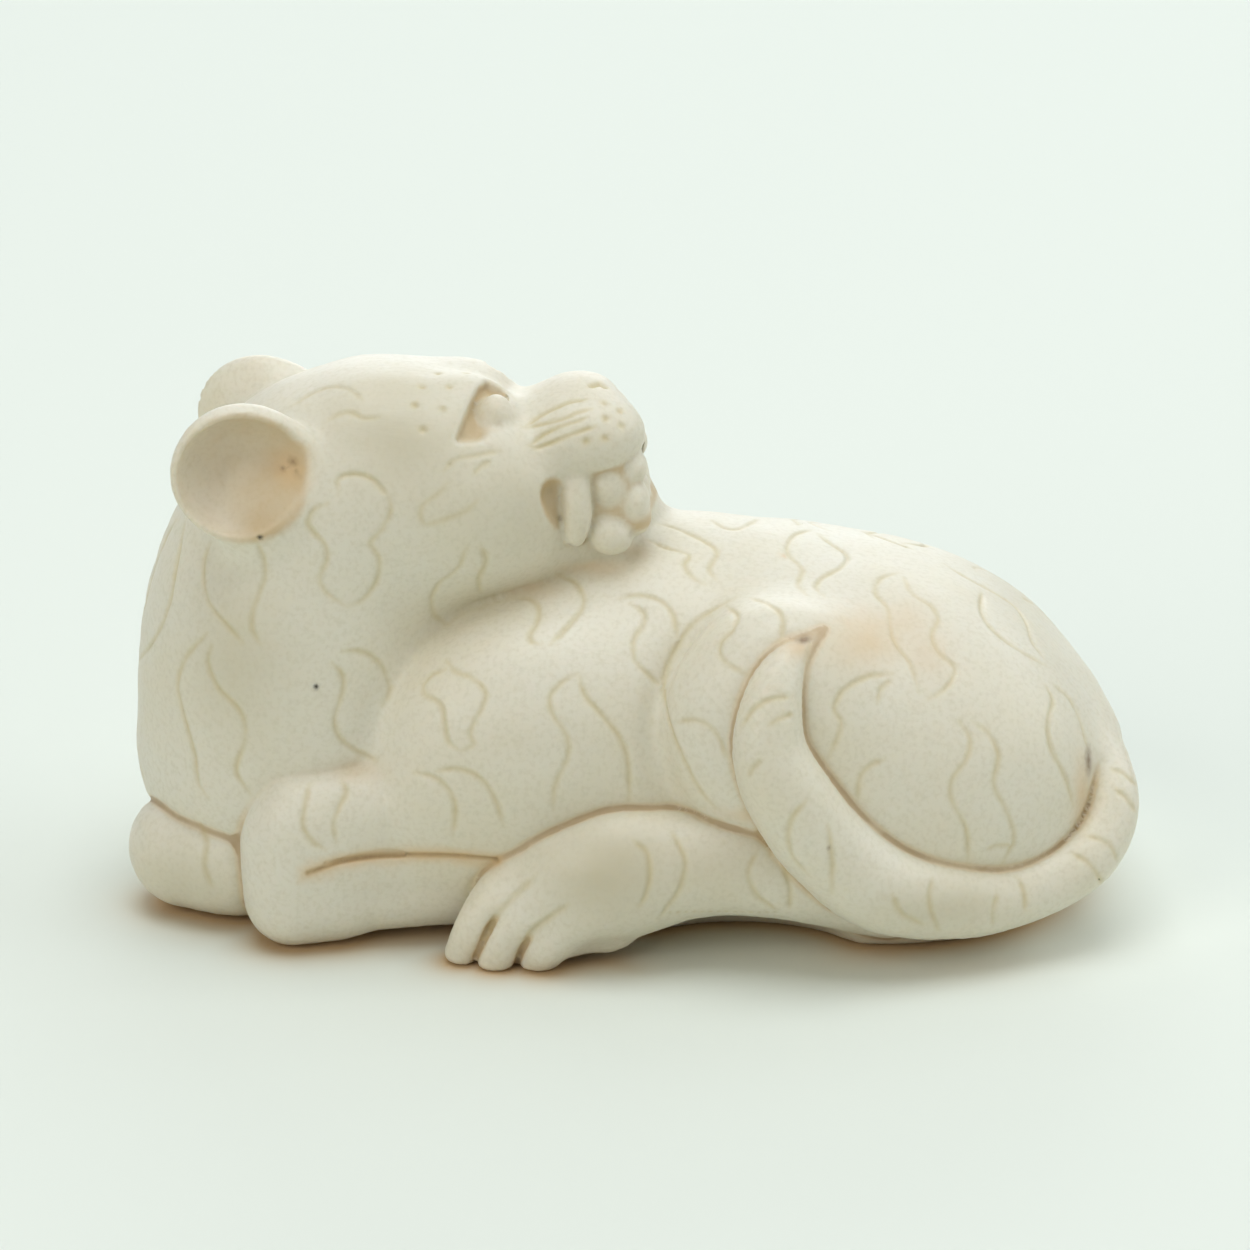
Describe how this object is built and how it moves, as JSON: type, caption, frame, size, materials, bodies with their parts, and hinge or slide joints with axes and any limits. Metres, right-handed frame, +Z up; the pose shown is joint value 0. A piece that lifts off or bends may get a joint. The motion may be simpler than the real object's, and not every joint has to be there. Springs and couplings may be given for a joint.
{
  "type": "okimono",
  "caption": "Small carved ornament of a lying tiger that turns its head back to snarl over its shoulder, its tail curled round the haunch.",
  "frame": {"origin": "on the plane it rests on, under the middle of the figure's bounding box", "axes": "+X runs from the chest towards the rump, -Y is the tiger's left flank with the tail, which the picture shows, and +Z is up"},
  "size_m": [0.055, 0.0286, 0.0303],
  "materials": {
    "ivory": "cream ivory or bone, polished to a soft satin sheen, with fine lines stained ochre"
  },
  "bodies": {
    "root": {"tiger": "ivory"}
  },
  "joints": []
}
